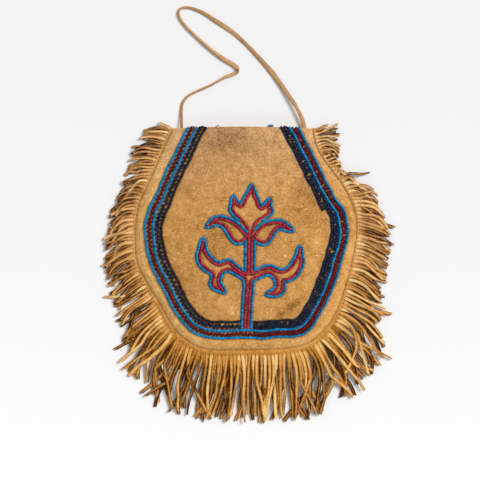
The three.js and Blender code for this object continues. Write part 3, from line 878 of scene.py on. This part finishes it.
def comb(strands, band_top, band_rise, rests, tone):
    """Corners, faces and tones of a cut strip: a band along the seam and strands that leave it in a row."""
    bands = len(WELT_ROWS) + len(BAND_SHARES)
    corners = np.zeros((2, bands + STRAND_RINGS, 3 * len(strands), 3))
    tones = np.zeros(corners.shape[:3])
    cuts = np.array([p for start, end, _, _ in strands for p in (start, (start + end) / 2, end)])
    _, feet = nearest(seam, cuts)
    outward = unit(cuts - feet)
    reach = np.interp(-feet[:, 1], BAND_WIDENS, BAND_WIDTH)[:, None]
    paler = RUBBED_TONE * np.exp(-((np.linalg.norm(feet - RUBBED, axis=1) / RUBBED_REACH) ** 2))
    distances = [0 * reach + distance for distance in WELT_ROWS] + [reach * share for share in BAND_SHARES]
    for row, distance in enumerate(distances):
        corners[:, row, :, :2] = feet + outward * distance
        out = distance[:, 0]
        corners[0, row, :, 2] = band_top + band_rise * np.exp(-(((out - WELT_RIDGE) / WELT_RIDGE_WIDTH) ** 2))
        corners[1, row, :, 2] = band_top - FRINGE_HIDE / 2
        # The seam's groove on the band gets painted shade.
        groove = BAND_GROOVE_SHADE * np.exp(-((out / 0.5) ** 2))
        tones[:, row] = BAND_TONE + paler - groove - BAND_DARKENS * np.maximum(out, 0)
    roots = feet + outward * reach
    slim = np.interp(feet[:, 1], SLIM, (1, SLIM_SHARE))
    for i, (start, end, tip, drawn) in enumerate(strands):
        middle = 3 * i + 1
        width = np.linalg.norm(end - start) * slim[middle]
        place = (roots[middle], outward[middle], tip, drawn)
        line, turn = strand_shape(*place, band_top - FRINGE_HIDE / 4, chance.choice(rests))
        along = directions(line)
        level = unit(np.cross(UP, along))
        across = level * np.cos(turn)[:, None] + np.cross(along, level) * np.sin(turn)[:, None]
        face = np.cross(along, across)
        strand_tone = tone + chance.gauss(0, STRAND_TONES) + LEFT_TONE * np.clip(-feet[middle, 0] / 50, 0, 1)
        pale_tip = max(0, chance.gauss(0, PALE_TIP))
        slant = chance.gauss(0, CUT_SLANT)
        for ring in range(1, STRAND_RINGS + 1):
            share = ring / STRAND_RINGS
            ragged = 1 + STRAND_RAGGED * ripple((i * 3.1, share * 9), 1.3, 8)
            half = width / 2 * (1 - STRAND_TAPER * share ** 3) * ragged
            thick = STRAND_HIDE / 2 * (1 - 0.1 * share)
            ends = along[ring] * slant if ring == STRAND_RINGS else 0
            for side in (-1, 0, 1):
                crown = face[ring] * thick * (1 - EDGE_THINNED * abs(side))
                place = line[ring] + side * (across[ring] * half + ends)
                corners[0, bands + ring - 1, middle + side] = place + crown
                corners[1, bands + ring - 1, middle + side] = place - crown
                # A strand's edges are painted darker, as painted shade in the gaps between strands.
                edge = EDGE_SHADE * abs(side) * min(share * 4, 1)
                worn = paler[middle] * (1 - share) + pale_tip * share ** 5
                tones[:, bands + ring - 1, middle + side] = strand_tone + worn - edge
    index = np.arange(tones.size).reshape(tones.shape)
    return corners.reshape(-1, 3), comb_faces(index, bands), tones.reshape(-1)


def comb_faces(index, bands):
    """Faces of a comb whose corners are counted by layer, row and column, with three columns to a strand."""
    top, under = index.tolist()
    rows_count, columns = index.shape[1:]
    faces = []
    for row in range(rows_count - 1):
        for column in range(columns - 1):
            if column % 3 == 2 and row >= bands - 1:
                continue
            a, b = top[row][column:column + 2]
            d, c = top[row + 1][column:column + 2]
            faces.append((a, d, c, b))
            a, b = under[row][column:column + 2]
            d, c = under[row + 1][column:column + 2]
            faces.append((a, b, c, d))
    for column in range(columns - 1):
        faces.append((under[0][column], top[0][column], top[0][column + 1], under[0][column + 1]))
        last = bands - 1 if column % 3 == 2 else rows_count - 1
        faces.append((top[last][column], under[last][column], under[last][column + 1], top[last][column + 1]))
    for row in range(rows_count - 1):
        for column in range(columns):
            a, b = under[row][column], under[row + 1][column]
            d, c = top[row][column], top[row + 1][column]
            if column % 3 == 0 and (row >= bands - 1 or column == 0):
                faces.append((a, b, c, d))
            if column % 3 == 2 and (row >= bands - 1 or column == columns - 1):
                faces.append((d, c, b, a))
    return faces


def make_fringe(name):
    """Doubled fringe strip: the CAD's strands above, and a second row below that shows between them."""
    upper = read_strands(name)
    for start, end, tip in upper:
        root = (start + end) / 2
        heights, shares = zip(*(RIGHT_REACH if root[0] > 0 else LEFT_REACH))
        tip += (tip - root) * (np.interp(root[1], heights, shares) - 1)
    for strand, corner, other in ((0, 0, 1), (-1, 1, 0)):
        upper[strand][corner] += unit(upper[strand][corner] - upper[strand][other]) * STRIP_GAP / 2
    upper = bundled(upper)
    lower = []
    for (start, end, *tips), (next_start, next_end, *next_tips) in zip(upper, upper[1:]):
        first = (start + end) / 2
        last = (next_start + next_end) / 2
        trim = unit(last - first) * SLIT / 2
        lower.append((first + trim, last - trim, *np.add(tips, next_tips) / 2))
    (start, end, *tips), (last_start, last_end, *last_tips) = upper[0], upper[-1]
    lower.insert(0, (start, (start + end) / 2, *tips))
    lower.append(((last_start + last_end) / 2, last_end, *last_tips))
    for root, tip in np.array(STRAYS):
        away = [np.linalg.norm(start - root) for start, _, _, _ in upper]
        if min(away) < STRAY_NEAR:
            nearby = int(np.argmin(away))
            upper[nearby] = (*upper[nearby][:2], tip, np.zeros(2))
    # The lower comb gets a darker tone as painted shade, the upper one a lighter tone as painted light.
    combs = [
        comb(lower, WELT_TOP - FRINGE_HIDE / 2, 0, LOWER_RESTS, LOWER_SHADED_TONE),
        comb(upper, WELT_TOP, WELT_RISE, UPPER_RESTS, UPPER_LIT_TONE),
    ]
    corners, faces = joined([(corners, faces) for corners, faces, _ in combs])
    tones = np.concatenate([tones for _, _, tones in combs])
    piece = make_piece(name + "_strip", corners, faces, CUT_HIDE, [name], tones)
    piece.data.set_sharp_from_angle(angle=math.radians(SHARP_ANGLE))


for strip_name in ("fringe_left", "fringe_bottom", "fringe_right", "fringe_upper_right"):
    make_fringe(strip_name)


# Beadwork

def bead_solids(places, along, size, length, sizes=BEAD_SIZES, astray=BEAD_ASTRAY):
    """Corners, faces and tones of beads strung along a line, each a little out of true."""
    count = len(places)
    ahead = unit(along + scatter.normal(0, BEAD_TILT, (count, 3)))
    right = unit(np.cross(ahead, UP))
    up = np.cross(right, ahead)
    angles = np.linspace(0, 2 * math.pi, BEAD_SIDES, endpoint=False)
    circle = np.cos(angles)[None, :, None] * right[:, None] + np.sin(angles)[None, :, None] * up[:, None]
    radius = size / 2 * scatter.uniform(*sizes, (count, 1, 1))
    reach = ahead * length * scatter.uniform(0.95, 1, (count, 1))
    centre = places + scatter.normal(0, astray, (count, 3))
    rings = [centre[:, None] + reach[:, None] * x + circle * radius * r for x, r in BEAD_PROFILE]
    rings = np.stack(rings, axis=1)
    _, template = skin(rings[0])
    ends = rings[:, (0, -1)].mean(axis=2)
    corners = np.concatenate([rings.reshape(count, -1, 3), ends], axis=1)
    each = corners.shape[1]
    faces = [tuple(k + i * each for k in face) for i in range(count) for face in template]
    return corners.reshape(-1, 3), faces, np.repeat(scatter.normal(0, BEAD_TONES, count), each)


def lay(line, size):
    """Points of a line set on the front's face, at the middle height of beads of one size."""
    line = np.array(line, float)
    line[:, 2] = front_face(line) + size / 2 - BEAD_SINK
    return line


def make_row(name):
    """String of beads along one row; where a row comes back on itself, it is sewn once."""
    line = even(rows[name], BEAD_PITCH)
    along = directions(line)
    line = lay(line, BEAD)
    kept = []
    for i, place in enumerate(line):
        if all(np.linalg.norm(line[k, :2] - place[:2]) > CROWDED for k in kept if k < i - 1):
            kept.append(i)
    corners, faces, tones = bead_solids(line[kept], along[kept], BEAD, BEAD_PITCH)
    make_piece(name + "_beads", corners, faces, BEAD_GLASS[SLOTS[name]], [name], tones)


def on_right(point):
    """Whether a place lies to the right of the motif's stem, where the lanes are sewn in bars."""
    return point[0] > RIGHT_OF_STEM


def alongside(row, edge):
    """The part of a row that lies alongside a shorter one."""
    gap, foot = nearest(edge, row)
    ends = [np.linalg.norm(foot - end, axis=1) for end in (edge[0, :2], edge[-1, :2])]
    return row[(np.minimum(*ends) > WELD) & (gap < WIDEST_LANE)]


def under_mouth(points):
    """Which points lie below the mouth edge, or only a little over it."""
    return points[:, 1] < np.interp(points[:, 0], mouth[::-1, 0], mouth[::-1, 1]) + OVER_MOUTH


def lane_strings(outer, inner):
    """Strings of beads that fill a lane between two rows: zigzag on the left, leaning bars on the right."""
    room = (BEAD + LANE_BEAD) / 2
    gap, foot = nearest(inner, outer)
    strings = []
    zigzag = []
    travelled = 0
    while travelled < len(outer) - 1:
        i = int(travelled)
        across = np.array([*(foot[i] - outer[i, :2]), 0]) / gap[i]
        near_side = outer[i] + across * room
        far_side = outer[i] + across * (gap[i] - room)
        if on_right(outer[i]):
            lean = BAR_LEAN * min(len(strings) / 3, 1)
            ahead = min(i + int(lean / LANE_STEP), len(outer) - 1)
            strings.append([near_side, far_side + outer[ahead] - outer[i]])
            travelled += BAR_SPACING / LANE_STEP * chance.uniform(0.97, 1.03)
        else:
            corner = far_side if len(zigzag) % 2 else near_side
            zigzag.append(corner + across * chance.gauss(0, 0.15))
            travelled += ZIGZAG_PERIOD / 2 / LANE_STEP * chance.uniform(0.9, 1.1)
    if len(zigzag) > 1:
        strings.append(zigzag)
    return strings


def make_lane(name, outer, inner):
    """Lane of bead strings sewn between two rows."""
    strings = lane_strings(even(carried(outer, LANE_END), LANE_STEP), carried(inner, LANE_END))
    strings = [even(string, LANE_PITCH) for string in strings]
    along = np.vstack([directions(string) for string in strings])
    places = np.vstack(strings)
    kept = under_mouth(places)
    start = 0
    for i, string in enumerate(strings):
        if i % THIN_BARS == 0 and on_right(string[0]) and string[0, 1] > THIN_ABOVE:
            kept[start + len(string) // 2] = False
        start += len(string)
    places = lay(places[kept], LANE_BEAD)
    sewn = bead_solids(places, along[kept], LANE_BEAD, LANE_PITCH, LANE_SIZES, LANE_ASTRAY)
    corners, faces, tones = sewn
    make_piece(name + "_beads", corners, faces, BEAD_GLASS[SLOTS[name]], [name], tones)


def make_mouth_beads(name):
    """Beads left on the back's mouth edge."""
    low, high = (np.array(corner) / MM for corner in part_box(name))
    middle = (low + high) / 2
    count = max(1, round((high[0] - low[0]) / BEAD_PITCH))
    places = middle + np.outer((np.arange(count) - (count - 1) / 2) * BEAD_PITCH, (1, 0, 0))
    size = min(BEAD, (high[0] - low[0]) / 1.6)
    corners, faces, tones = bead_solids(places, np.tile((1.0, 0, 0), (count, 1)), size, BEAD_PITCH)
    dulled = tones - 0.5 / count ** 2
    make_piece(name + "_sewn", corners, faces, BEAD_GLASS[SLOTS[name]], [name], dulled)


for row_name in rows:
    make_row(row_name)
make_lane("red_lane", rows["outer_blue_row"], rows["inner_blue_row"])
for lane_side in ("left", "right", "upper_right"):
    edge_row = rows["navy_row_" + lane_side]
    make_lane("navy_lane_" + lane_side, alongside(rows["inner_blue_row"], edge_row), edge_row)
make_mouth_beads("mouth_beads_left")
make_mouth_beads("mouth_beads_right")


# Thread

STITCH = 2.6
STITCH_SPACING = 3
STITCH_THREAD = 0.3
STITCH_TAPER = (0.35, 0.85, 1, 1, 1, 0.85, 0.35)
STITCH_SIDES = 7
STITCH_RISE = 0.12
STITCH_OUT = 0.4  # how far outside the seam's line the stitches lie
STITCH_LIFT = 0.15  # their height over the welt


def stitch(start, end, rise):
    """Corners and faces of one stitch, bowed up between its ends."""
    share = np.linspace(0, 1, len(STITCH_TAPER))
    line = start + np.outer(share, end - start)
    line[:, 2] += rise * np.sin(math.pi * share)
    angles = np.linspace(0, 2 * math.pi, STITCH_SIDES, endpoint=False)
    rings = []
    for place, ahead, taper in zip(line, directions(line), STITCH_TAPER):
        right = unit(np.cross(ahead, UP))
        up = np.cross(right, ahead)
        circle = np.outer(np.cos(angles), right) + np.outer(np.sin(angles), up)
        rings.append(place + circle * taper * STITCH_THREAD / 2)
    return skin(rings)


def make_seam_thread():
    """Running stitches in the groove along the seam."""
    line = even(seam, STITCH_SPACING / 2)
    along = directions(line)
    stitches = []
    for place, ahead in zip(line[1:-1:2], along[1:-1:2]):
        middle = place + np.array([ahead[1], -ahead[0], 0]) * STITCH_OUT
        middle[2] = WELT_TOP + STITCH_LIFT
        stitches.append(stitch(middle - ahead * STITCH / 2, middle + ahead * STITCH / 2, STITCH_RISE))
    corners, faces = joined(stitches)
    make_piece("seam_stitches", corners, faces, THREAD, ["seam_thread"])


def make_thong_stitch(name):
    """Two turns of thread over one end of the thong."""
    low, high = (np.array(corner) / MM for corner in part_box(name))
    middle = (low + high) / 2
    half = np.array([(high[0] - low[0]) / 2, 0.25, 0])
    other = half * (1, -1, 1)
    turns = [stitch(middle - half, middle + half, 0.1), stitch(middle - other, middle + other, 0.3)]
    corners, faces = joined(turns)
    make_piece(name + "_thread", corners, faces, THREAD, [name])


make_seam_thread()
make_thong_stitch("thong_stitch_left")
make_thong_stitch("thong_stitch_right")
